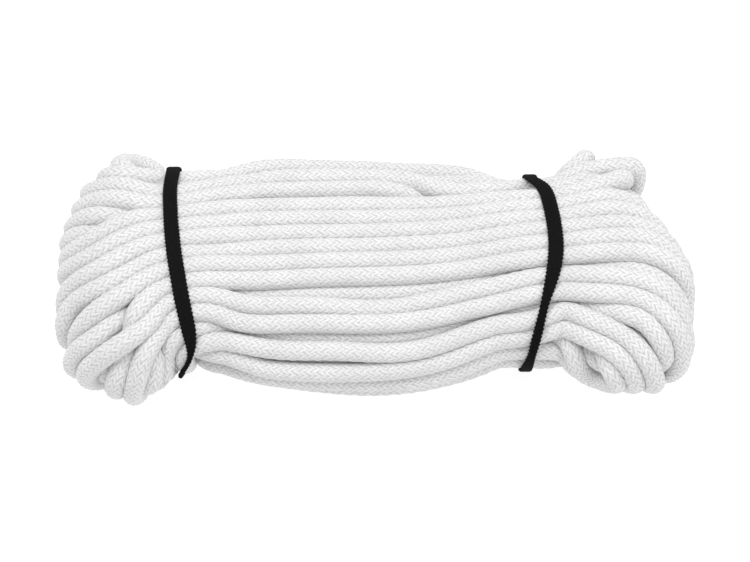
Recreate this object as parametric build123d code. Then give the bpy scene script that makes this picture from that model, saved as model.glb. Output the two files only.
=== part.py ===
"""A dock line made up in a hank and held by two elastic bands, lying flat on its side.

X runs along the hank, Z is up, and Y is the axis that the line was wound about.
The origin is on the surface it rests on, under the middle of the hank.
All lengths are in millimetres.
"""

import math
import os

from build123d import *

os.makedirs("parts", exist_ok=True)

# Driving dimensions -------------------------------------------------------------------------
LINE_D = 10.0  # diameter of the braided line

# The hank's outer shape: x, half depth, half height, and its middle's y and z.
LEFT_FAN = [
    (-167.5, 17.0, 11.0, -11.0, 31.0),
    (-161.0, 43.0, 25.0, -7.0, 32.0),
    (-152.0, 60.0, 34.0, -2.0, 35.0),
    (-140.0, 71.5, 39.5, -1.0, 38.5),
    (-124.0, 76.0, 41.0, -2.2, 39.8),
]
LEFT_WAIST = (-112.0, -82.0, 60.0, 38.0, 0.6, 41.5)  # from x, to x, then as above
BODY = [
    (-60.0, 69.5, 37.5, 4.0, 36.3),
    (-30.0, 71.5, 36.5, 2.0, 35.3),
    (10.0, 71.0, 36.5, 0.5, 35.3),
    (45.0, 65.0, 37.0, 3.0, 35.8),
]
RIGHT_WAIST = (66.0, 99.5, 55.5, 38.0, -0.4, 41.5)
RIGHT_FAN = [
    (112.0, 72.0, 41.0, 5.0, 39.8),
    (128.0, 71.0, 41.0, -1.5, 39.8),
    (142.0, 63.0, 38.5, -9.0, 37.5),
    (153.0, 49.0, 32.0, -18.0, 34.0),
    (161.0, 32.0, 22.0, -26.0, 31.0),
    (167.5, 10.0, 9.0, -28.0, 29.0),
]

# The elastic bands
BAND_THICK = 1.2
BAND_GAP = 0.3  # between a band and the line that it holds
LAP_LENGTH = 14.0  # where a band's two ends overlap and are sewn
LAP_ALONG = 22.0  # the lap's middle, up the back from the hank's underside
LEAN = math.radians(55.0)  # the way a band's flat turns as it climbs over the hank
# Each band's middle line over the top: height up the slope, x, and width there.
LEFT_BAND = [
    (54.0, -106.8, 7.2),
    (42.0, -107.5, 7.4),
    (25.0, -106.1, 7.7),
    (9.5, -104.1, 8.0),
    (-14.0, -99.8, 8.0),
    (-32.0, -95.8, 7.0),
    (-41.0, -94.9, 4.6),
    (-54.0, -100.5, 4.0),
]
RIGHT_BAND = [
    (54.0, 84.5, 7.2),
    (42.0, 89.6, 7.7),
    (28.0, 92.8, 7.8),
    (16.0, 94.0, 8.0),
    (6.5, 93.4, 8.0),
    (-3.0, 91.4, 7.0),
    (-17.0, 87.4, 4.6),
    (-32.0, 84.0, 5.0),
    (-43.0, 81.2, 4.8),
    (-54.0, 79.0, 6.6),
]
BEYOND = 90.0  # a band's strip runs straight on this far, past the hank's edges
REACH = 90.0  # and is this deep, from the hank's middle outwards

# The line's two ends, whipped with twine, lie along the back of the hank
END_INSET = 6.2  # from the hank's back to the middle of the line
END_Z = 36.0
ENDS = {"a": (-58.0, -24.0), "b": (42.0, 10.0)}  # x where it leaves the turns, x of its tip
END_BACK = {"a": 73.0, "b": 68.5}  # y of the hank's back there
WHIPPING_LENGTH = 11.0
WHIPPING_THICK = 0.6
WHIPPING_FROM_TIP = 3.0
NEST_GAP = 0.5  # between a whipping and the turns that it lies among

# Sewing on the bands' laps
STITCH_D = 0.5
STITCH_ROWS = 4
STITCH_SPAN = 5.6


def section(x, depth, height, back, z):
    """An elliptical face across the hank."""
    plane = Plane(origin=(x, back, z), x_dir=(0, 1, 0), z_dir=(1, 0, 0))
    return plane * Ellipse(depth, height)


def waist_tube(waist, grow, start, stop):
    """A straight length of a waist's section, grown outwards."""
    _, _, depth, height, back, z = waist
    face = section(start, depth + grow, height + grow, back, z)
    return extrude(face, amount=stop - start, dir=(1, 0, 0))


def waist_core(waist):
    return waist_tube(waist, 0.0, waist[0], waist[1])


def hank():
    """The outer shape of all the turns: two fanned ends, two waists and a fuller body."""
    left_start = section(LEFT_WAIST[0], *LEFT_WAIST[2:])
    left_stop = section(LEFT_WAIST[1], *LEFT_WAIST[2:])
    right_start = section(RIGHT_WAIST[0], *RIGHT_WAIST[2:])
    right_stop = section(RIGHT_WAIST[1], *RIGHT_WAIST[2:])
    solid = loft([section(*s) for s in LEFT_FAN] + [left_start])
    solid += waist_core(LEFT_WAIST)
    solid += loft([left_stop] + [section(*s) for s in BODY] + [right_start])
    solid += waist_core(RIGHT_WAIST)
    solid += loft([right_stop] + [section(*s) for s in RIGHT_FAN])
    solid -= Pos(0, 0, -50) * Box(500, 400, 100)
    for name in ENDS:
        solid -= end_nest(name)
    return solid


def end_y(name):
    return END_BACK[name] - END_INSET


def end_nest(name):
    """The room that the turns leave for one end of the line."""
    leaves, tip = ENDS[name]
    half = LINE_D / 2 + WHIPPING_THICK + NEST_GAP
    past = math.copysign(NEST_GAP, tip - leaves)
    y = end_y(name)
    length = abs(tip + past - leaves)
    middle = (tip + past + leaves) / 2
    return Pos(middle, y - half + 25, END_Z) * Box(length, 50, 2 * half)


def rod(name, start, stop, radius):
    """A round bar along X on the middle line of one end."""
    plane = Plane(origin=(start, end_y(name), END_Z), x_dir=(0, 1, 0), z_dir=(1, 0, 0))
    return extrude(plane * Circle(radius), amount=stop - start, dir=(1, 0, 0))


def line_end(name):
    leaves, tip = ENDS[name]
    return rod(name, min(leaves, tip), max(leaves, tip), LINE_D / 2)


def whipping(name):
    """Tight turns of twine round the line near its tip."""
    leaves, tip = ENDS[name]
    inward = math.copysign(1.0, leaves - tip)
    near = tip + inward * WHIPPING_FROM_TIP
    far = near + inward * WHIPPING_LENGTH
    start, stop = min(near, far), max(near, far)
    outer = rod(name, start, stop, LINE_D / 2 + WHIPPING_THICK)
    return outer - rod(name, start - 1, stop + 1, LINE_D / 2)


def slope_plane(waist, x):
    """The plane that a band's outline is drawn on, through the waist's middle."""
    facing = (0.0, -math.cos(LEAN), math.sin(LEAN))
    return Plane(origin=(x, waist[4], waist[5]), x_dir=(1, 0, 0), z_dir=facing)


def run_on(outline):
    """An outline's two ends, each carried straight on past the hank's edge."""
    (_, top_x, top_width), (_, bottom_x, bottom_width) = outline[0], outline[-1]
    return (BEYOND, top_x, top_width), (-BEYOND, bottom_x, bottom_width)


def sides(outline):
    left = [(x - width / 2, up) for up, x, width in outline]
    right = [(x + width / 2, up) for up, x, width in outline]
    return left, right


def over_strip(waist, outline):
    """A curved strip along a band's middle line, run out through the hank's upper side."""
    left, right = sides(outline)
    top, bottom = run_on(outline)
    (left_top, left_bottom), (right_top, right_bottom) = sides([top, bottom])
    edges = [
        Polyline(left[0], left_top, right_top, right[0]),
        Spline(*right),
        Polyline(right[-1], right_bottom, left_bottom, left[-1]),
        Spline(*left[::-1]),
    ]
    plane = slope_plane(waist, 0.0)
    return extrude(plane * make_face(edges), amount=REACH, dir=plane.z_dir)


def under_strip(waist, outline):
    """The strip's return underneath, straight from one edge of the hank to the other."""
    top, bottom = run_on(outline)
    left, right = sides([top, outline[0], outline[-1], bottom])
    plane = slope_plane(waist, 0.0)
    face = make_face(Polyline(*left, *right[::-1], close=True))
    return extrude(plane * face, amount=REACH, dir=-plane.z_dir)


def ring(waist, inner, outer):
    """A length of tube round a waist, between two distances from the line."""
    start, stop = waist[0] - 8, waist[1] + 8
    return waist_tube(waist, outer, start, stop) - waist_tube(waist, inner, start - 1, stop + 1)


def under_block(waist, outline, along, length, width):
    """A block through a band's underside, at a place along the band."""
    x = (outline[0][1] + outline[-1][1]) / 2
    return slope_plane(waist, x) * (Pos(0, along, -REACH / 2) * Box(width, length, REACH))


def band(waist, outline):
    """One elastic: a closed loop, double where its two ends are lapped on the underside."""
    loop = ring(waist, BAND_GAP, BAND_GAP + BAND_THICK)
    over = loop & over_strip(waist, outline)
    under = loop & under_strip(waist, outline)
    lap = ring(waist, BAND_GAP + BAND_THICK, BAND_GAP + 2 * BAND_THICK)
    lap = lap & under_strip(waist, outline)
    lap = lap & under_block(waist, outline, LAP_ALONG, LAP_LENGTH, 40)
    return over + under + lap


def stitching(waist, outline):
    """Rows of thread across a band's lap."""
    surface = BAND_GAP + 2 * BAND_THICK
    skin = ring(waist, surface, surface + STITCH_D)
    pitch = (LAP_LENGTH - 4.0) / (STITCH_ROWS - 1)
    rows = []
    for k in range(STITCH_ROWS):
        along = LAP_ALONG + (k - (STITCH_ROWS - 1) / 2) * pitch
        rows += (skin & under_block(waist, outline, along, STITCH_D, STITCH_SPAN)).solids()
    return Compound(children=rows)


def save(shape, name):
    export_step(shape, f"parts/{name}.step")
    box = shape.bounding_box()
    print(name, len(shape.solids()), round(shape.volume), box.min, box.max)


save(hank(), "line_hank")
for end in ENDS:
    save(line_end(end), f"line_end_{end}")
    save(whipping(end), f"whipping_{end}")
for side, waist, outline in (
    ("left", LEFT_WAIST, LEFT_BAND),
    ("right", RIGHT_WAIST, RIGHT_BAND),
):
    save(band(waist, outline), f"{side}_band")
    save(stitching(waist, outline), f"{side}_band_stitching")
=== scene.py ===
"""The looks of a dock line made up in a hank: one long braided line and two elastic bands.

Lengths are in metres. X runs along the hank, Y is the axis that the line was wound about and
Z is up. The line is wound turn by turn, then settles under its own stiffness inside the hank's
shape from model.glb, and is drawn as a braided tube along that one route.
"""

import math
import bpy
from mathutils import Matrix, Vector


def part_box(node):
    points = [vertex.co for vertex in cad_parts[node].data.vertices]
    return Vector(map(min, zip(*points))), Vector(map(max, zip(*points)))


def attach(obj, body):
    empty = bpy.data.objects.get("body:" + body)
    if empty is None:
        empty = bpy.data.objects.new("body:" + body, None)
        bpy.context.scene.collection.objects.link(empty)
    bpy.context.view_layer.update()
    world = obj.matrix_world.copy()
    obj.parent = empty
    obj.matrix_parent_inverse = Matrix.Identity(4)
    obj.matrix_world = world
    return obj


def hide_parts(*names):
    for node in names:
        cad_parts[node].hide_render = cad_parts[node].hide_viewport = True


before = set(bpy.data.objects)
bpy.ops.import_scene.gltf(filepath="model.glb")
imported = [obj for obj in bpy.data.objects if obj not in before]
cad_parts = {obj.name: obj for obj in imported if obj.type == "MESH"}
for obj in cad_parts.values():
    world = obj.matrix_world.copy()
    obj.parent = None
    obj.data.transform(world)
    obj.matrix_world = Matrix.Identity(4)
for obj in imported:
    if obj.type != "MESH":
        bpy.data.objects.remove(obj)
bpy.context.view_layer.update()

import bmesh
import bpy
import numpy as np
from mathutils import Matrix, Vector

MM = 0.001

# The line -----------------------------------------------------------------------------------
LINE_D = 0.010
LINE_R = LINE_D / 2
YARNS = 8  # yarns that run each way round the braid
STITCH = 6.4 * MM  # length of one stitch of the braid
NODE_STEP = 6.0 * MM  # between the points of the line while it settles
SEED = 12

# The turns, as rows from the middle of the hank outwards: height and number of strands.
ROWS = [(4.6 * MM, 12), (13.4 * MM, 13), (22.0 * MM, 11), (29.9 * MM, 6)]
CORE_DEPTH = 66.5 * MM  # half width of the widest row
CORE_HEIGHT = 31.8 * MM
NEST = 0.15  # how far a loop stays inside the one round it, as a share of their spacing
BEND = 11 * MM  # no bend of the line is meant to be tighter than this radius
TWIST_X = np.array([-120, -90, -30, 40, 85, 120]) * MM
TWIST = np.radians([-16, -7, 1, 3, 8, 20])  # the hank is wrung a little along its length

# Where the end loops reach: place from front (-1) to back (+1), then x, y and z.
LEFT_LOOPS = np.array(
    [
        (-1.0, -115, -91, 7),
        (-0.8, -129, -85, 11),
        (-0.6, -151, -63, 23),
        (-0.3, -159, -43, 29),
        (0.0, -163, -23, 34),
        (0.3, -163, -3, 37),
        (0.6, -160, 18, 40),
        (0.8, -155, 35, 43),
        (1.0, -146, 53, 46),
    ]
)
RIGHT_LOOPS = np.array(
    [
        (-1.0, 152, -66, 28),
        (-0.8, 157, -62, 30),
        (-0.6, 161, -54, 32),
        (-0.3, 160, -39, 34),
        (0.0, 151, -23, 36),
        (0.2, 144, -4, 39),
        (0.4, 143, 19, 45),
        (0.6, 141, 40, 51),
        (0.8, 128, 57, 58),
        (1.0, 114, 66, 67),
    ]
)


# The hank's waist under each band: half depth, half height, middle y and middle z.
LEFT_WAIST = (60 * MM, 38 * MM, 0.6 * MM, 41.5 * MM)
RIGHT_WAIST = (55.5 * MM, 38 * MM, -0.4 * MM, 41.5 * MM)
BAND_TRAVEL = 8 * MM  # how far each band slides towards the middle of the hank
PRESS_EASE = 2 * MM  # the line rises back to its full thickness over this length

SLIDE_X = (60 * MM, 102 * MM)  # the bands slide within this stretch, on either side


def section_table(node, count=85):
    """The CAD hank's half depth, half height and middle, at stations along X."""
    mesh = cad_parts[node].data
    points = np.zeros(len(mesh.vertices) * 3)
    mesh.vertices.foreach_get("co", points)
    points = points.reshape(-1, 3)
    edges = np.zeros(len(mesh.edges) * 2, np.int64)
    mesh.edges.foreach_get("vertices", edges)
    first, second = points[edges.reshape(-1, 2)].transpose(1, 0, 2)
    low, high = points[:, 0].min(), points[:, 0].max()
    rows = []
    for x in np.linspace(low + MM, high - MM, count):
        cut = (first[:, 0] - x) * (second[:, 0] - x) < 0
        a, b = first[cut], second[cut]
        share = ((x - a[:, 0]) / (b[:, 0] - a[:, 0]))[:, None]
        at = a + (b - a) * share
        (y0, z0), (y1, z1) = at[:, 1:].min(0), at[:, 1:].max(0)
        rows.append((x, (y1 - y0) / 2, (z1 - z0) / 2, (y0 + y1) / 2, (z0 + z1) / 2))
    table = np.array(rows)
    rounded = sum(table[k : len(table) - 4 + k, 1:] for k in range(5)) / 5
    rounded[:, :2] = np.minimum(rounded[:, :2], table[2:-2, 1:3])
    table[2:-2, 1:] = rounded
    inside = table[1:-1]
    narrowest = np.minimum(inside[:, 1:3], np.minimum(table[:-2, 1:3], table[2:, 1:3]))
    slides = (np.abs(inside[:, 0]) > SLIDE_X[0]) & (np.abs(inside[:, 0]) < SLIDE_X[1])
    inside[slides, 1:3] = narrowest[slides]
    return table


SECTIONS = section_table("line_hank")


def section(x):
    """Half depth, half height, middle y and middle z of the hank at x."""
    return [np.interp(x, SECTIONS[:, 0], SECTIONS[:, k]) for k in range(1, 5)]


def twisted(p, q, x):
    """(p, q) turned by as much as the hank is wrung at x."""
    angle = np.interp(x, TWIST_X, TWIST)
    return (
        p * math.cos(angle) + q * math.sin(angle),
        -p * math.sin(angle) + q * math.cos(angle),
    )


def place(x, p, q):
    """The point at x of a strand that runs at (p, q) in the hank's section, each -1 to 1."""
    depth, height, y, z = section(x)
    across, up = twisted(p, q, x)
    return np.array([x, y + across * (depth - LINE_R), z + up * (height - LINE_R)])


def turn_places():
    """(p, q) of each turn's upper strand, in the order they were wound."""
    rows = []
    for k, (z, count) in enumerate(ROWS):
        half = CORE_DEPTH * math.sqrt(1 - (z / CORE_HEIGHT) ** 2)
        first, last = -half, half
        if k == 0:
            first, last = -CORE_DEPTH, CORE_DEPTH - 10.2 * MM
        ys = np.linspace(first, last, count)
        rows.append([(y / CORE_DEPTH, z / CORE_HEIGHT) for y in ys])
    return rows[0][::-1] + rows[1] + rows[2][::-1] + rows[3]


RUN_X = np.array([-96, -75, -50, -25, 0, 25, 50, 72, 90]) * MM


def run(p, q, forward, rng):
    """The points of one strand along the hank, with a slight waviness of its own."""
    stations = RUN_X if forward else RUN_X[::-1]
    points = [place(x, p, q) for x in stations]
    phase = rng.uniform(0, 2 * math.pi, 4)
    size = rng.uniform(0.5, 1.5, 4) * np.array([1.7, 1.2, 0.8, 0.8]) * MM
    waves = np.array([0.7, 1.9, 0.8, 2.1])
    for k, point in enumerate(points):
        u = k / (len(points) - 1)
        bow = size * np.sin(2 * math.pi * u * waves + phase)
        point[1] += bow[0] + bow[1]
        point[2] += bow[2] + bow[3]
    return points


def bowed(start, by, stop, bulge):
    """Points between two others, on a line that bends towards a third."""
    middle = (start + stop) / 2
    control = middle + (by - middle) * bulge
    steps = (0.25, 0.5, 0.75)
    return [start * (1 - t) ** 2 + control * 2 * t * (1 - t) + stop * t**2 for t in steps]


def end_loop(right, start, stop, rng):
    """The points of a loop at one end of the hank, from one strand's (p, q) to another's."""
    table = RIGHT_LOOPS if right else LEFT_LOOPS
    edge, fan = (97 * MM, 122 * MM) if right else (-104 * MM, -124 * MM)
    middle = (start[0] + stop[0]) / 2
    tip = [np.interp(middle, table[:, 0], table[:, k]) * MM for k in (1, 2, 3)]
    outer = max(abs(start[1]), abs(stop[1])) * CORE_HEIGHT
    depth = max(0.0, math.sqrt(max(0.0, 1 - middle**2)) * CORE_HEIGHT - outer)
    leaves, returns = place(edge, *start), place(edge, *stop)
    fan_out, fan_in = place(fan, *start), place(fan, *stop)
    across = (fan_out - fan_in) / 2
    across[0] = 0
    radius = max(np.linalg.norm(across), BEND)
    reach = min(radius, 24 * MM)
    root = (leaves + returns) / 2
    way = np.array(tip) - root
    length = np.linalg.norm(way)
    way /= length
    across -= way * np.dot(across, way)
    across *= radius / np.linalg.norm(across)
    length -= LINE_R + depth * NEST - rng.uniform(-2.0, 1.0) * MM
    centre = root + way * (length - reach)
    bulge = 0.0 if right else np.clip(middle * 1.2, 0, 0.9)
    points = bowed(leaves, fan_out, centre + across, bulge)
    for angle in np.linspace(math.pi / 2, -math.pi / 2, 7):
        points.append(centre + across * math.sin(angle) + way * reach * math.cos(angle))
    return points + bowed(centre - across, fan_in, returns, bulge)


def end_strand(name, xs):
    """A line's end along the back of the hank, on the middle line of its CAD tube."""
    low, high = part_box(name)
    y, z = (low.y + high.y) / 2, (low.z + high.z) / 2
    points = []
    for x in xs:
        point = place(x, 1.0, 0.0)
        if low.x - MM <= x <= high.x + MM:
            point[1:] = y, z
        points.append(point)
    return points


def wind():
    """The whole line's route as it is wound, before it settles."""
    rng = np.random.default_rng(SEED)
    tip_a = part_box("line_end_a")[1].x
    tip_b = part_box("line_end_b")[0].x
    points = end_strand("line_end_a", np.linspace(tip_a, -100 * MM, 8))
    places = turn_places()
    back = (1.0, -0.03)
    came_from = back
    for k, (p, q) in enumerate(places):
        points += end_loop(False, came_from, (p, q), rng)
        points += run(p, q, True, rng)
        came_from = (p, -q)
        if k + 1 < len(places):
            points += end_loop(True, (p, q), came_from, rng)
            points += run(p, -q, False, rng)
    points += end_loop(True, places[-1], back, rng)
    points += end_strand("line_end_b", np.linspace(92 * MM, tip_b, 8))
    return np.array(points)


# Settling -----------------------------------------------------------------------------------


def spaced(points, step):
    """The same line with points at an even spacing, near step."""
    along = np.r_[0, np.cumsum(np.linalg.norm(np.diff(points, axis=0), axis=1))]
    count = int(round(along[-1] / step)) + 1
    at = np.linspace(0, along[-1], count)
    return np.stack([np.interp(at, along, points[:, k]) for k in range(3)], 1)


def eased(points, rounds):
    """The same points with their corners softened, a little in each round."""
    points = points.copy()
    for _ in range(rounds):
        points[1:-1] = 0.25 * points[:-2] + 0.5 * points[1:-1] + 0.25 * points[2:]
    return points


def close_pairs(points, reach, skip=4):
    """Pairs of points of the line that are near each other but not next to each other."""
    cell = np.floor(points / reach).astype(np.int64)
    cell -= cell.min(0)
    size = cell.max(0) + 3
    key = (cell[:, 0] * size[1] + cell[:, 1]) * size[2] + cell[:, 2]
    order = np.argsort(key, kind="stable")
    ranked = key[order]
    firsts, seconds = [], []
    steps = (-1, 0, 1)
    for dx, dy, dz in [(a, b, c) for a in steps for b in steps for c in steps]:
        beside = key + (dx * size[1] + dy) * size[2] + dz
        low = np.searchsorted(ranked, beside, "left")
        count = np.searchsorted(ranked, beside, "right") - low
        i = np.repeat(np.arange(len(points)), count)
        step = np.arange(len(i)) - np.repeat(np.cumsum(count) - count, count)
        j = order[np.repeat(low, count) + step]
        keep = j > i + skip
        firsts.append(i[keep])
        seconds.append(j[keep])
    i, j = np.concatenate(firsts), np.concatenate(seconds)
    near = np.linalg.norm(points[i] - points[j], axis=1) < reach
    return i[near], j[near]


# The bands press the strands closer together, by X: strand spacing as a share of LINE_D.
PRESS_X = np.array([-140, -110, -84, -60, 45, 68, 98, 128]) * MM
PRESS = np.array([1.07, 0.90, 0.90, 0.96, 0.96, 0.90, 0.90, 1.01])
# and the line fills out where it is loose: its thickness there as a share of LINE_D.
LOOSE_X = np.array([-135, -100, 95, 130]) * MM
LOOSE = np.array([1.13, 1.0, 1.0, 1.07])


def push_apart(points, pairs, share):
    """Moves strands that are too near away from each other, a little at a time."""
    i, j = pairs
    gap = LINE_D * share * np.interp(points[i, 0], PRESS_X, PRESS)
    between = points[i] - points[j]
    distance = np.linalg.norm(between, axis=1) + 1e-12
    push = between / distance[:, None] * (np.maximum(0, gap - distance) * 0.3)[:, None]
    move = np.zeros_like(points)
    for k in range(3):
        move[:, k] = np.bincount(i, push[:, k], len(points))
        move[:, k] -= np.bincount(j, push[:, k], len(points))
    size = np.linalg.norm(move, axis=1)
    return points + move * (np.minimum(size, 1.2 * MM) / (size + 1e-12))[:, None]


def open_bends(points, radius):
    """Keeps every bend at least this wide."""
    for k in (2, 3, 4, 5):
        between = points[k:] - points[:-k]
        distance = np.linalg.norm(between, axis=1) + 1e-12
        half = min(math.pi / 2, NODE_STEP * k / (2 * radius))
        short = np.maximum(0, 2 * radius * math.sin(half) - distance) * 0.4
        move = between / distance[:, None] * short[:, None]
        points[k:] += move
        points[:-k] -= move


def stiffen(points, share):
    """Straightens the line a little, as its own stiffness does."""
    bend = points[:-4] - 4 * points[1:-3] + 6 * points[2:-2] - 4 * points[3:-1] + points[4:]
    points[2:-2] -= share * bend / 16


def keep_length(points, rest):
    """Draws neighbouring points to their spacing: firmly when stretched, softly when pressed."""
    for odd in (0, 1):
        a, b = points[odd:-1:2], points[odd + 1 :: 2]
        count = min(len(a), len(b))
        between = b[:count] - a[:count]
        distance = np.linalg.norm(between, axis=1) + 1e-12
        share = np.where(distance > rest, 0.4, 0.06)
        move = between * (share * (distance - rest) / distance)[:, None]
        points[odd:-1:2][:count] += move
        points[odd + 1 :: 2][:count] -= move


FAN_X = 124 * MM  # the loops fan out past here
HELD_X = 102 * MM  # the bands hold the strands in their places up to here
REACH_X = 161.5 * MM  # the furthest that the end loops' middle line reaches
DROOP = 7 * MM  # how far the front loops of the left end hang out of the hank's shape


def hold_in(points, slack, share):
    """Presses the line into the hank's outer shape, as the bands do."""
    points[:, 0] = np.clip(points[:, 0], -REACH_X, REACH_X)
    depth, height, y, z = section(np.minimum(points[:, 0], FAN_X))
    off_y, off_z = points[:, 1] - y, points[:, 2] - z
    hanging = np.clip((-points[:, 0] - 106 * MM) / (6 * MM), 0, 1)
    hanging = hanging * np.clip(-off_y / (30 * MM) - 0.5, 0, 1) * (off_z < 0)
    slack = slack + DROOP * hanging
    out = np.hypot(off_y / (depth - LINE_R + slack), off_z / (height - LINE_R + slack))
    over = np.maximum(0, out - 1)
    back = share * np.minimum(0, 1 / np.maximum(out, 1e-9) - 1)
    points[:, 1] += off_y * back
    points[:, 2] += off_z * back
    points[:, 0] += np.minimum(over * 30 * MM, 1 * MM) * (points[:, 0] < -FAN_X) * share


def swell(points, step):
    """Pushes the outer strands out, as the turns spring back from the middle of the hank."""
    depth, height, y, z = section(np.clip(points[:, 0], -FAN_X, FAN_X))
    off_y, off_z = (points[:, 1] - y) / depth, (points[:, 2] - z) / height
    out = np.hypot(off_y, off_z) + 1e-9
    move = step * np.clip((out - 0.35) / 0.3, 0, 1) / out
    points[:, 1] += off_y * move
    points[:, 2] += off_z * move


def settle(points, rounds):
    """The line after its strands have pushed each other into place."""
    home = points.copy()
    rest = np.linalg.norm(np.diff(points, axis=0), axis=1).mean()
    pinned = np.zeros(len(points), bool)
    pinned[:6] = pinned[-6:] = True
    held = 0.03 * np.clip((HELD_X - np.abs(home[:, 0])) / (8 * MM), 0, 1)[:, None]
    left, right = home[:, 0] < -HELD_X, home[:, 0] > HELD_X
    for k in range(rounds):
        share = k / rounds
        if k % 8 == 0:
            pairs = close_pairs(points, 1.35 * LINE_D)
        points = push_apart(points, pairs, 0.84 + 0.16 * min(1, share / 0.5))
        open_bends(points, BEND)
        stiffen(points, 0.65)
        keep_length(points, rest)
        if share < 0.85:
            swell(points, 0.03 * MM)
        hold_in(points, 2.5 * MM * max(0, 1 - share / 0.3), 0.35)
        pull = 0.012 * (1 - share) + 0.001 + held * min(1, 3 * (1 - share))
        points += (home - points) * pull
        points[left, 0] -= 0.3 * np.maximum(0, points[left, 0] + HELD_X - 2 * MM)
        points[right, 0] += 0.3 * np.maximum(0, HELD_X - 2 * MM - points[right, 0])
        points[:, 2] = np.maximum(points[:, 2], LINE_R)
        points[pinned] = home[pinned]
    hold_in(points, 0.0, 1.0)
    points[pinned] = home[pinned]
    return points


def route_line():
    """The settled line as points of one route."""
    wound = spaced(eased(spaced(wind(), 2 * MM), 18), NODE_STEP)
    return settle(wound, 1000)


def centreline(points, resolution=6):
    """The smooth line through a route: its NURBS spline's own points."""
    curve = bpy.data.curves.new("line_route", "CURVE")
    curve.dimensions = "3D"
    curve.resolution_u = resolution
    spline = curve.splines.new("NURBS")
    spline.points.add(len(points) - 1)
    flat = np.c_[points, np.ones(len(points))].ravel()
    spline.points.foreach_set("co", flat)
    spline.order_u = 3
    spline.use_endpoint_u = True
    holder = bpy.data.objects.new("line_route", curve)
    bpy.context.scene.collection.objects.link(holder)
    mesh = bpy.data.meshes.new_from_object(holder)
    line = np.zeros(len(mesh.vertices) * 3)
    mesh.vertices.foreach_get("co", line)
    bpy.data.objects.remove(holder)
    bpy.data.meshes.remove(mesh)
    bpy.data.curves.remove(curve)
    return line.reshape(-1, 3)


# The braided tube ---------------------------------------------------------------------------

FINE_SIDES, FINE_STEP = 48, 1.25 * MM
FINE_BLOCK = 8  # rings that are fine or plain together
PLAIN_SIDES, PLAIN_STEP = 16, 4.0 * MM
SPREAD = 2  # nodes past the last one that shows, which are drawn fine too


def directions(count):
    """Directions evenly over a sphere."""
    k = np.arange(count) + 0.5
    up = 1 - 2 * k / count
    turn = math.pi * (1 + math.sqrt(5)) * k
    flat = np.sqrt(1 - up**2)
    return np.stack([flat * np.cos(turn), flat * np.sin(turn), up], 1)


def open_share(nodes, pairs):
    """How much of the surroundings each node sees past the strands beside it, 0 to 1."""
    ways = directions(60)
    i, j = np.r_[pairs[0], pairs[1]], np.r_[pairs[1], pairs[0]]
    between = nodes[j] - nodes[i]
    distance = np.linalg.norm(between, axis=1)
    towards = between / distance[:, None]
    cosine = np.sqrt(np.maximum(0, 1 - (LINE_R / distance) ** 2))
    share = np.ones(len(nodes))
    for way in ways:
        hit = towards @ way > cosine
        blocked = np.zeros(len(nodes), bool)
        blocked[i[hit]] = True
        share -= blocked / len(ways)
    return share


def stations(line, fine):
    """Places along the line for the tube's rings, close together where it shows.

    Returns the distance along the line, the place, the nearest node and the kind of each ring.
    """
    along = np.r_[0, np.cumsum(np.linalg.norm(np.diff(line, axis=0), axis=1))]
    node_at = np.linspace(0, len(fine) - 1, len(line))
    total = along[-1]
    count = int(total // (FINE_BLOCK * FINE_STEP))
    length = total / count
    middles = (np.arange(count) + 0.5) * length
    is_fine = fine[np.round(np.interp(middles, along, node_at)).astype(int)]
    at, kind = [], []
    for k in range(count):
        steps = FINE_BLOCK if is_fine[k] else max(1, int(round(length / PLAIN_STEP)))
        for s in range(steps):
            at.append((k + s / steps) * length)
            kind.append(is_fine[k])
    at.append(total)
    kind.append(is_fine[-1])
    at = np.array(at)
    places = np.stack([np.interp(at, along, line[:, k]) for k in range(3)], 1)
    nearest = np.round(np.interp(at, along, node_at)).astype(int)
    return at, places, nearest, np.array(kind)


def frames(places):
    """Two directions across the line at each place, carried along it without twisting."""
    ahead = np.gradient(places, axis=0)
    ahead /= np.linalg.norm(ahead, axis=1)[:, None]
    side = np.zeros_like(places)
    start = np.cross(ahead[0], (0.0, 0.0, 1.0))
    side[0] = start / np.linalg.norm(start)
    for k in range(1, len(places)):
        turned = side[k - 1] - ahead[k] * np.dot(side[k - 1], ahead[k])
        side[k] = turned / np.linalg.norm(turned)
    return ahead, side, np.cross(ahead, side)


RIDGE = 0.30 * MM  # height of a yarn over the groove beside it
CROSSING = 0.22 * MM  # how far a yarn rises where it passes over another
CORE_R = LINE_R - 0.28 * MM


def relief(angle, along):
    """Height of the braid's surface over its core, from whichever yarns are on top."""
    column = np.cos(YARNS * angle)
    lay = 2 * math.pi * along / STITCH
    ridge_a = np.sqrt(0.5 + 0.5 * np.cos(YARNS * angle - lay))
    ridge_b = np.sqrt(0.5 + 0.5 * np.cos(YARNS * angle + lay))
    over_a = RIDGE * ridge_a + CROSSING * column
    over_b = RIDGE * ridge_b - CROSSING * column
    return np.maximum(over_a, over_b)


TOUCH = 0.02 * MM  # strands that are pressed together stay this far from their middle plane


def squeeze(points, places, line_nodes, neighbours, nearest):
    """Flattens the tube where it is pressed against the strands beside it."""
    for k in range(neighbours.shape[1]):
        other = neighbours[nearest, k]
        has = other >= 0
        centre = places[has]
        towards = line_nodes[other[has]] - centre
        distance = np.linalg.norm(towards, axis=1)
        towards /= distance[:, None]
        reach = np.einsum("rsk,rk->rs", points[has] - centre[:, None], towards)
        past = np.maximum(0, reach - (distance / 2 - TOUCH)[:, None])
        points[has] -= past[:, :, None] * towards[:, None]
    return points


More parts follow.
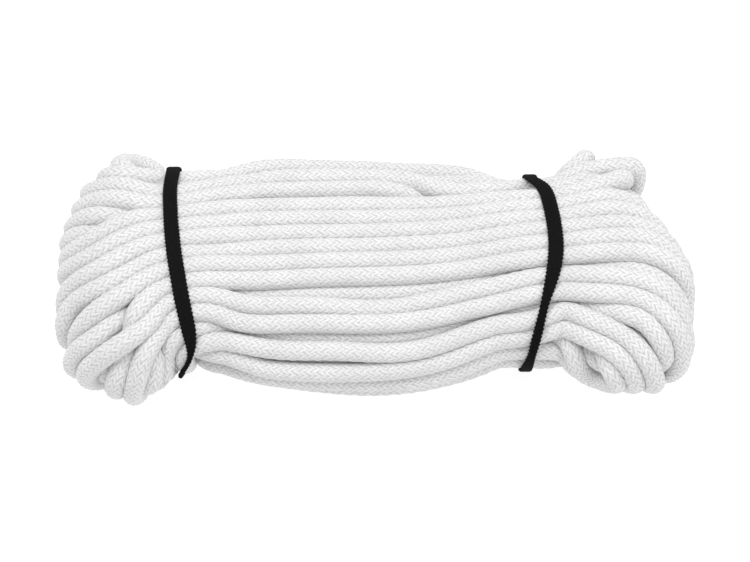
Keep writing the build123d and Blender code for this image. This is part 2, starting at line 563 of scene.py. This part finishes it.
def pressed_by_bands(points):
    """Flattens the outer strands along each band's path, so that it clears them as it slides."""
    for waist, outline, way in ((LEFT_WAIST, LEFT_BAND, 1), (RIGHT_WAIST, RIGHT_BAND, -1)):
        half_y, half_z, middle_y, middle_z = waist
        route, _, width, _, _ = band_route(waist, outline)
        band_y, band_z = route[:, 1] - middle_y, route[:, 2] - middle_z
        band_turn = np.arctan2(band_z / half_z, band_y / half_y)
        off_y, off_z = points[:, 1] - middle_y, points[:, 2] - middle_z
        turn = np.arctan2(off_z / half_z, off_y / half_y)
        x = np.interp(turn, band_turn, route[:, 0], period=2 * math.pi)
        half = np.interp(turn, band_turn, width / 2, period=2 * math.pi) + TOOTH_DEPTH
        slid = x + way * BAND_TRAVEL
        past_low = points[:, 0] - np.minimum(x, slid) + half
        past_high = np.maximum(x, slid) + half - points[:, 0]
        inside = np.minimum(past_low, past_high)
        out = np.hypot(off_y / half_y, off_z / half_z)
        past = np.maximum(0, 1 - 1 / np.maximum(out, 1e-9))
        scale = 1 - past * np.clip(1 + inside / PRESS_EASE, 0, 1)
        points[:, 1] = middle_y + off_y * scale
        points[:, 2] = middle_z + off_z * scale
    return points


def neighbour_table(nodes, pairs, most=18):
    """For each node, the nearest nodes of other strands, -1 where there are no more."""
    i, j = np.r_[pairs[0], pairs[1]], np.r_[pairs[1], pairs[0]]
    distance = np.linalg.norm(nodes[i] - nodes[j], axis=1)
    order = np.lexsort((distance, i))
    i, j = i[order], j[order]
    first = np.searchsorted(i, np.arange(len(nodes)))
    rank = np.arange(len(i)) - first[i]
    keep = rank < most
    table = np.full((len(nodes), most), -1)
    table[i[keep], rank[keep]] = j[keep]
    return table


TIP = 2.5 * MM  # the line's ends are rounded over this length
FUZZ = 0.035 * MM  # loose fibres: the surface's random roughness
FLOOR_GAP = 0.05 * MM
ALONG_SCALE = 100  # the braid attribute counts the length along the line in centimetres


def rings(places, at, side, up, sides, chosen, rng):
    """The tube's surface at the chosen places, as (place, side, xyz), with its heights."""
    angle = np.arange(sides) * 2 * math.pi / sides
    height = relief(angle[None], at[chosen][:, None])
    radius = CORE_R + height + rng.normal(0, FUZZ, height.shape)
    to_tip = np.clip(np.minimum(at, at[-1] - at)[chosen] / TIP, 0, 1)
    radius *= (1 - 0.4 * (1 - to_tip) ** 2)[:, None]
    radius *= np.interp(places[chosen, 0], LOOSE_X, LOOSE)[:, None]
    out = (
        side[chosen][:, None] * np.cos(angle)[None, :, None]
        + up[chosen][:, None] * np.sin(angle)[None, :, None]
    )
    return places[chosen][:, None] + out * radius[:, :, None], height


def join(faces, a, b, many_a, many_b):
    """Faces between one ring and the next, which may have a third as many points."""
    if many_a == many_b:
        k = np.arange(many_a)
        n = (k + 1) % many_a
        faces += np.stack([a + k, a + n, b + n, b + k], 1).tolist()
        return
    few, many, flip = (b, a, False) if many_a > many_b else (a, b, True)
    ratio = max(many_a, many_b) // min(many_a, many_b)
    few_count, many_count = min(many_a, many_b), max(many_a, many_b)
    for k in range(few_count):
        wide = [many + (k * ratio + s) % many_count for s in range(ratio + 1)]
        face = wide + [few + (k + 1) % few_count, few + k]
        faces.append(face[::-1] if flip else face)


def tube(name, line, nodes):
    """The braided line's mesh."""
    pairs = close_pairs(nodes, 1.6 * LINE_D)
    seen = np.flatnonzero(open_share(nodes, pairs) > 0.03)
    fine = np.zeros(len(nodes), bool)
    for shift in range(-SPREAD, SPREAD + 1):
        fine[np.clip(seen + shift, 0, len(nodes) - 1)] = True
    at, places, nearest, is_fine = stations(line, fine)
    _, side, up = frames(places)
    table = neighbour_table(nodes, pairs)
    sides = np.where(is_fine, FINE_SIDES, PLAIN_SIDES)
    offset = np.r_[0, np.cumsum(sides)]
    points = np.zeros((offset[-1], 3))
    heights = np.zeros(offset[-1])
    turn = np.zeros((offset[-1], 2))
    rng = np.random.default_rng(SEED)
    for many in (FINE_SIDES, PLAIN_SIDES):
        chosen = np.flatnonzero(sides == many)
        if not len(chosen):
            continue
        surface, height = rings(places, at, side, up, many, chosen, rng)
        surface = squeeze(surface, places[chosen], nodes, table, nearest[chosen])
        index = offset[chosen][:, None] + np.arange(many)[None]
        points[index] = surface
        heights[index] = height
        turn[index, 0] = np.arange(many)[None] / many
        turn[index, 1] = at[chosen][:, None]
    points = pressed_by_bands(points)
    points[:, 2] = np.maximum(points[:, 2], FLOOR_GAP)
    faces = []
    for k in range(len(at) - 1):
        join(faces, offset[k], offset[k + 1], sides[k], sides[k + 1])
    faces.append(list(range(offset[0], offset[1]))[::-1])
    faces.append(list(range(offset[-2], offset[-1])))
    mesh = bpy.data.meshes.new(name)
    mesh.from_pydata(points.tolist(), [], faces)
    # The line's material also paints shade between the yarns from this height.
    depth = mesh.attributes.new("yarn_height", "FLOAT", "POINT")
    depth.data.foreach_set("value", (heights / (RIDGE + CROSSING)).astype(np.float32))
    around = mesh.attributes.new("braid", "FLOAT_VECTOR", "POINT")
    circle = np.c_[
        np.cos(turn[:, 0] * 2 * math.pi),
        np.sin(turn[:, 0] * 2 * math.pi),
        turn[:, 1] * ALONG_SCALE,
    ]
    around.data.foreach_set("vector", circle.astype(np.float32).ravel())
    mesh.polygons.foreach_set("use_smooth", [True] * len(mesh.polygons))
    obj = bpy.data.objects.new(name, mesh)
    bpy.context.scene.collection.objects.link(obj)
    return obj


# The elastic bands --------------------------------------------------------------------------

# Each band's middle line over the top, in millimetres: height up the slope, x, and width.
LEFT_BAND = [
    (53, -106.8, 7.2),
    (42, -107.5, 7.4),
    (25, -106.1, 7.7),
    (9.5, -104.1, 8.0),
    (-14, -99.8, 8.0),
    (-32, -95.8, 7.6),
    (-38, -95.0, 6.4),
    (-42, -94.8, 3.2),
    (-47, -96.0, 2.2),
    (-54, -101.5, 1.8),
]
RIGHT_BAND = [
    (53, 82.0, 7.0),
    (48, 86.2, 7.6),
    (42, 90.0, 7.7),
    (28, 92.8, 7.8),
    (16, 94.0, 8.0),
    (6.5, 93.4, 8.0),
    (-3, 91.4, 7.0),
    (-17, 87.4, 4.2),
    (-27, 85.2, 4.6),
    (-36, 83.0, 5.3),
    (-43, 81.2, 3.8),
    (-52, 78.2, 6.8),
]
LEAN = math.radians(55)  # the slope that the rows above are measured up
BAND_THICK = 1.2 * MM
BAND_GAP = 0.3 * MM
TOOTH = 2.2 * MM  # spacing of the small teeth along a band's edges
TOOTH_DEPTH = 0.7 * MM
WALES = 6  # ribs across the band
LAP_LENGTH = 14 * MM
LAP_ALONG = 22 * MM
BAND_STEP = 0.3 * MM


def blurred(values, reach):
    """Values round a closed loop, averaged over a Gaussian reach in steps."""
    offsets = np.arange(-3 * reach, 3 * reach + 1)
    weights = np.exp(-0.5 * (offsets / reach) ** 2)
    rolled = [w * np.roll(values, o, axis=0) for o, w in zip(offsets, weights)]
    return np.sum(rolled, axis=0) / weights.sum()


def band_route(waist, outline):
    """Even points round a band, its outward way, width and distance along the underside."""
    half_y, half_z, middle_y, middle_z = waist
    grow = BAND_GAP + BAND_THICK / 2
    turn = np.linspace(0, 2 * math.pi, 4001)
    y, z = (half_y + grow) * np.cos(turn), (half_z + grow) * np.sin(turn)
    along = np.r_[0, np.cumsum(np.hypot(np.diff(y), np.diff(z)))]
    count = int(round(along[-1] / TOOTH)) * int(round(TOOTH / BAND_STEP))
    at = np.arange(count) / count * along[-1]
    y, z = np.interp(at, along, y), np.interp(at, along, z)
    up_slope = y * math.sin(LEAN) + z * math.cos(LEAN)
    over = z * math.sin(LEAN) - y * math.cos(LEAN) > 0
    table = np.array(outline[::-1]) * MM
    x = np.interp(up_slope, table[:, 0], table[:, 1])
    width = np.interp(up_slope, table[:, 0], table[:, 2])
    ends = table[0], table[-1]
    share = (up_slope - up_slope.min()) / np.ptp(up_slope)
    under_x = ends[0][1] + (ends[1][1] - ends[0][1]) * share
    widths = (ends[0][2], 7.4 * MM, 7.4 * MM, ends[1][2])
    under_width = np.interp(share, (0, 0.15, 0.85, 1), widths)
    reach = int(4 * MM / (along[-1] / count))
    x = blurred(np.where(over, x, under_x), reach)
    width = blurred(np.where(over, width, under_width), reach)
    out = np.stack([0 * y, y / (half_y + grow) ** 2, z / (half_z + grow) ** 2], 1)
    out /= np.linalg.norm(out, axis=1)[:, None]
    points = np.stack([x, y + middle_y, z + middle_z], 1)
    return points, out, width, np.where(over, -1.0, up_slope), at


def knit(across, along):
    """Height of a band's knitted face, with across from -1 to 1 and along in metres."""
    rib = np.abs(np.cos(across * WALES * math.pi / 2))
    slant = np.abs(across * WALES % 2 - 1)
    stitch = np.cos(2 * math.pi * (along / (TOOTH / 2) + slant * 0.5))
    return 0.2 * MM * rib + 0.14 * MM * rib * stitch


ACROSS = 37


def loop_mesh(name, rows):
    """A closed band from rows of points round its section."""
    count, around = rows.shape[:2]
    index = np.arange(count * around).reshape(count, around)
    quads = np.stack(
        [
            index,
            np.roll(index, -1, 1),
            np.roll(np.roll(index, -1, 1), -1, 0),
            np.roll(index, -1, 0),
        ],
        2,
    )
    mesh = bpy.data.meshes.new(name)
    mesh.from_pydata(rows.reshape(-1, 3).tolist(), [], quads.reshape(-1, 4).tolist())
    mesh.polygons.foreach_set("use_smooth", [True] * len(mesh.polygons))
    obj = bpy.data.objects.new(name, mesh)
    bpy.context.scene.collection.objects.link(obj)
    return obj


def band(name, waist, outline):
    """One flat knitted elastic round the hank, thicker where it is rolled up narrow."""
    points, out, width, under, at = band_route(waist, outline)
    ahead = np.roll(points, -1, 0) - np.roll(points, 1, 0)
    ahead /= np.linalg.norm(ahead, axis=1)[:, None]
    side = np.cross(ahead, out)
    side /= np.linalg.norm(side, axis=1)[:, None]
    teeth = TOOTH_DEPTH * (np.abs((at / TOOTH) % 1 - 0.5) * 2 - 0.5)
    half = width / 2
    flat = np.linspace(-1, 1, ACROSS)
    lapped = np.clip((LAP_LENGTH / 2 - np.abs(under - LAP_ALONG)) / (0.6 * MM), 0, 1)
    thick = BAND_THICK * np.clip(7.6 * MM / width, 1, 1.8) + BAND_THICK * lapped
    base = -BAND_THICK / 2
    crown = (1 - np.abs(flat) ** 6)[None] * np.ones((len(points), 1))
    face = knit(flat[None], at[:, None]) * crown
    edge = 0.35 + 0.65 * np.sqrt(crown)
    outer = base + thick[:, None] * edge + face - 0.16 * MM
    inner = base + (thick[:, None] * 0.3) * (1 - crown)
    spread = flat[None] * (half + teeth)[:, None]
    top = points[:, None] + side[:, None] * spread[:, :, None] + out[:, None] * outer[:, :, None]
    low = points[:, None] + side[:, None] * spread[:, :, None] + out[:, None] * inner[:, :, None]
    obj = loop_mesh(name, np.concatenate([top, low[:, ::-4]], 1))
    return obj, (points, out, side, half, thick, under)


def stitches(name, route):
    """Rows of sewn thread across a band's lap."""
    points, out, side, half, thick, under = route
    made = bmesh.new()
    pitch = (LAP_LENGTH - 4 * MM) / 3
    for row in range(4):
        place = LAP_ALONG + (row - 1.5) * pitch
        k = int(np.argmin(np.abs(under - place)))
        top = points[k] + out[k] * (thick[k] - BAND_THICK / 2 + 0.05 * MM)
        for step in range(5):
            across = (step - 2) / 2 * (half[k] - 1.0 * MM)
            centre = Vector(top + side[k] * across)
            turn = Vector(side[k]).to_track_quat("X", "Z").to_matrix().to_4x4()
            size = Matrix.Diagonal((0.62 * MM, 0.28 * MM, 0.28 * MM, 1))
            bmesh.ops.create_uvsphere(
                made,
                u_segments=12,
                v_segments=8,
                radius=1,
                matrix=Matrix.Translation(centre) @ turn @ size,
            )
    mesh = bpy.data.meshes.new(name)
    made.to_mesh(mesh)
    made.free()
    obj = bpy.data.objects.new(name, mesh)
    bpy.context.scene.collection.objects.link(obj)
    return obj


# Whippings ----------------------------------------------------------------------------------

TWINE = 0.6 * MM


def whipping(name, node):
    """Turns of twine round the line near its tip, in place of a plain ring."""
    low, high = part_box(node)
    middle = (low + high) / 2
    sides, per_turn = 48, 8
    turns = int((high.x - low.x) / TWINE)
    count = turns * per_turn + 1
    x = np.linspace(low.x, high.x, count)
    angle = np.arange(sides) * 2 * math.pi / sides
    phase = (x[:, None] / (turns * TWINE) * turns - angle[None] / (2 * math.pi)) % 1
    bump = np.sqrt(np.maximum(0, 1 - (2 * phase - 1) ** 2))
    radius = LINE_R + TWINE * (0.35 + 0.65 * bump)
    radius[0] = radius[-1] = LINE_R - 0.4 * MM
    x = np.r_[x[1] - 0.1 * MM, x[1:-1], x[-2] + 0.1 * MM]
    rows = np.stack(
        [
            x[:, None] + 0 * radius,
            middle.y + radius * np.cos(angle),
            middle.z + radius * np.sin(angle),
        ],
        2,
    )
    return loop_mesh(name, rows)


# Materials ----------------------------------------------------------------------------------


class Nodes:
    """Short calls for building one material's nodes."""

    def __init__(self, name):
        self.material = bpy.data.materials.new(name)
        self.material.use_nodes = True
        self.tree = self.material.node_tree
        self.shader = self.tree.nodes["Principled BSDF"]

    def add(self, kind, **settings):
        node = self.tree.nodes.new(kind)
        for key, value in settings.items():
            setattr(node, key, value)
        return node

    def link(self, a, b):
        self.tree.links.new(a, b)

    def put(self, node, **values):
        for key, value in values.items():
            node.inputs[key.replace("_", " ")].default_value = value
        return node

    def ramp(self, factor, stops):
        node = self.add("ShaderNodeValToRGB")
        ends = node.color_ramp.elements
        while len(ends) < len(stops):
            ends.new(0.5)
        for element, (position, colour) in zip(ends, stops):
            element.position = position
            element.color = (*colour, 1)
        self.link(factor, node.inputs[0])
        return node.outputs[0]

    def noise(self, vector, scale, detail=2.0, roughness=0.5):
        node = self.add("ShaderNodeTexNoise")
        self.put(node, Scale=scale, Detail=detail, Roughness=roughness)
        self.link(vector, node.inputs["Vector"])
        return node.outputs[0]

    def mix(self, blend, amount, a, b):
        node = self.add("ShaderNodeMix", data_type="RGBA", blend_type=blend)
        node.inputs[0].default_value = amount
        self.link(a, node.inputs[6])
        self.link(b, node.inputs[7])
        return node.outputs[2]

    def math(self, operation, *values):
        node = self.add("ShaderNodeMath", operation=operation)
        for socket, value in zip(node.inputs, values):
            if isinstance(value, (int, float)):
                socket.default_value = value
            else:
                self.link(value, socket)
        return node.outputs[0]

    def bump(self, height, strength, distance, under=None):
        node = self.add("ShaderNodeBump")
        self.put(node, Strength=strength, Distance=distance)
        self.link(height, node.inputs["Height"])
        if under is not None:
            self.link(under, node.inputs["Normal"])
        return node.outputs[0]


def grey(value):
    return (value, value, value)


def line_material():
    """Soft white braid: bright yarns, painted shade between them and between their threads, and
    loose fibres.
    """
    n = Nodes("white_braid")
    where = n.add("ShaderNodeTexCoord").outputs["Object"]
    height = n.add("ShaderNodeAttribute", attribute_name="yarn_height").outputs["Fac"]
    # painted shade: the braid's colour darkens where its surface sinks between the yarns
    painted_groove_shade = n.ramp(height, [(0.30, grey(0.62)), (0.58, grey(0.78)), (0.92, grey(0.83))])
    patch = n.noise(where, 60.0, 3.0)
    tint = n.ramp(patch, [(0.3, grey(0.94)), (0.7, grey(1.0))])
    colour = n.mix("MULTIPLY", 1.0, painted_groove_shade, tint)
    fibre = n.noise(where, 1300.0, 4.0, 0.8)
    speck = n.ramp(fibre, [(0.34, grey(0.76)), (0.56, grey(1.0))])
    colour = n.mix("MULTIPLY", 1.0, colour, speck)
    threads = braid_threads(n, where)
    # painted shade: darker between the threads of the yarn on top
    painted_thread_shade = n.ramp(threads, [(0.10, grey(0.80)), (0.55, grey(1.0))])
    colour = n.mix("MULTIPLY", 1.0, colour, painted_thread_shade)
    n.link(colour, n.shader.inputs["Base Color"])
    fuzz = n.bump(fibre, 0.7, 0.3 * MM)
    n.link(n.bump(threads, 0.6, 0.18 * MM, fuzz), n.shader.inputs["Normal"])
    n.put(n.shader, Roughness=0.92, Sheen_Weight=0.3, Sheen_Roughness=0.6)
    n.shader.inputs["Specular IOR Level"].default_value = 0.15
    return n.material


THREADS = 2  # threads in each yarn


def braid_threads(n, where):
    """The threads of whichever yarn is on top, from 0 between two to 1 on one."""
    braid = n.add("ShaderNodeAttribute", attribute_name="braid").outputs["Vector"]
    parts = n.add("ShaderNodeSeparateXYZ")
    n.link(braid, parts.inputs[0])
    x, y, along = parts.outputs
    angle = n.math("MULTIPLY", n.math("ARCTAN2", y, x), YARNS)
    drift = n.math("MULTIPLY", n.noise(where, 350.0, 2.0), 2.2)
    lay = n.math("ADD", n.math("MULTIPLY", along, 2 * math.pi / (ALONG_SCALE * STITCH)), drift)
    one_way = n.math("COSINE", n.math("MULTIPLY", n.math("SUBTRACT", angle, lay), THREADS))
    other_way = n.math("COSINE", n.math("MULTIPLY", n.math("ADD", angle, lay), THREADS))
    on_top = n.math("GREATER_THAN", n.math("COSINE", angle), 0.0)
    blend = n.add("ShaderNodeMix")
    n.link(on_top, blend.inputs[0])
    n.link(other_way, blend.inputs[2])
    n.link(one_way, blend.inputs[3])
    return n.math("MULTIPLY_ADD", blend.outputs[0], 0.5, 0.5)


def elastic_material():
    """Black knitted elastic with a slight shine on its threads."""
    n = Nodes("black_elastic")
    where = n.add("ShaderNodeTexCoord").outputs["Object"]
    fibre = n.noise(where, 1800.0, 3.0, 0.6)
    shades = [(0.3, grey(0.001)), (0.6, grey(0.003)), (0.72, grey(0.02)), (0.8, grey(0.07))]
    colour = n.ramp(fibre, shades)
    n.link(colour, n.shader.inputs["Base Color"])
    n.link(n.bump(fibre, 0.5, 0.2 * MM), n.shader.inputs["Normal"])
    n.put(n.shader, Roughness=0.8)
    n.shader.inputs["Specular IOR Level"].default_value = 0.12
    return n.material


def twine_material():
    """Waxed twine, slightly yellow, with its fibres along it."""
    n = Nodes("waxed_twine")
    where = n.add("ShaderNodeTexCoord").outputs["Object"]
    fibre = n.noise(where, 3000.0, 3.0)
    colour = n.ramp(fibre, [(0.3, (0.52, 0.50, 0.45)), (0.7, (0.72, 0.70, 0.64))])
    n.link(colour, n.shader.inputs["Base Color"])
    n.link(n.bump(fibre, 0.4, 0.1 * MM), n.shader.inputs["Normal"])
    n.put(n.shader, Roughness=0.6)
    return n.material


def thread_material():
    """Black sewing thread with a faint shine."""
    n = Nodes("sewing_thread")
    where = n.add("ShaderNodeTexCoord").outputs["Object"]
    fibre = n.noise(where, 4000.0, 2.0)
    colour = n.ramp(fibre, [(0.3, grey(0.012)), (0.7, grey(0.035))])
    n.link(colour, n.shader.inputs["Base Color"])
    n.link(n.bump(fibre, 0.3, 0.05 * MM), n.shader.inputs["Normal"])
    n.put(n.shader, Roughness=0.5)
    return n.material


# Camera, light and floor --------------------------------------------------------------------

LENS = 200
VIEW_WIDTH = 0.395  # of the scene across the picture, at the hank
LOOK_AT = (0, -4.3 * MM, 39 * MM)
ELEVATION = math.radians(55)


def camera():
    """Looks down at the hank from the front."""
    data = bpy.data.cameras.new("camera")
    data.lens = LENS
    obj = bpy.data.objects.new("camera", data)
    target = Vector(LOOK_AT)
    distance = LENS / data.sensor_width * VIEW_WIDTH
    obj.location = target + Vector((0, -math.cos(ELEVATION), math.sin(ELEVATION))) * distance
    obj.rotation_euler = (math.pi / 2 - ELEVATION, 0, 0)
    bpy.context.scene.collection.objects.link(obj)
    bpy.context.scene.camera = obj


def area_light(name, place, target, size, power):
    data = bpy.data.lights.new(name, "AREA")
    data.shape = "SQUARE"
    data.size = size
    data.energy = power
    obj = bpy.data.objects.new(name, data)
    obj.location = place
    aim = Vector(target) - Vector(place)
    obj.rotation_euler = aim.to_track_quat("-Z", "Y").to_euler()
    bpy.context.scene.collection.objects.link(obj)


def studio():
    """An even white surround, two soft lights and a plain white floor."""
    world = bpy.data.worlds.new("studio")
    world.use_nodes = True
    background = world.node_tree.nodes["Background"]
    background.inputs["Color"].default_value = (1, 1, 1, 1)
    background.inputs["Strength"].default_value = 0.80
    bpy.context.scene.world = world
    bpy.context.scene.view_settings.view_transform = "Standard"
    area_light("key", (-0.35, 0.15, 1.5), (0, 0, 0.03), 0.8, 11)
    area_light("fill", (0.9, -0.3, 1.0), (0, 0, 0.03), 1.0, 5)
    bpy.ops.mesh.primitive_plane_add(size=8, location=(0, 0, -0.2 * MM))
    floor = bpy.context.object
    floor.name = "floor"
    n = Nodes("floor_white")
    n.shader.inputs["Base Color"].default_value = (0.3, 0.3, 0.3, 1)
    n.shader.inputs["Emission Color"].default_value = (1, 1, 1, 1)
    n.put(n.shader, Roughness=0.9, Emission_Strength=0.82)
    floor.data.materials.append(n.material)


camera()
studio()
nodes = route_line()
line = centreline(nodes)
rope = tube("dock_line", line, nodes)
rope.data.materials.append(line_material())
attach(rope, "hank")
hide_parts("line_hank", "line_end_a", "line_end_b")

twine = twine_material()
for end in ("a", "b"):
    turns = whipping(f"twine_{end}", f"whipping_{end}")
    turns.data.materials.append(twine)
    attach(turns, "hank")
    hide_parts(f"whipping_{end}")

black = elastic_material()
thread = thread_material()
for side, waist, outline in (
    ("left", LEFT_WAIST, LEFT_BAND),
    ("right", RIGHT_WAIST, RIGHT_BAND),
):
    elastic, route = band(f"{side}_elastic", waist, outline)
    elastic.data.materials.append(black)
    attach(elastic, f"{side}_elastic")
    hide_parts(f"{side}_band")
    sewing = stitches(f"{side}_lap_stitches", route)
    sewing.data.materials.append(thread)
    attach(sewing, f"{side}_elastic")
    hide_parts(f"{side}_band_stitching")
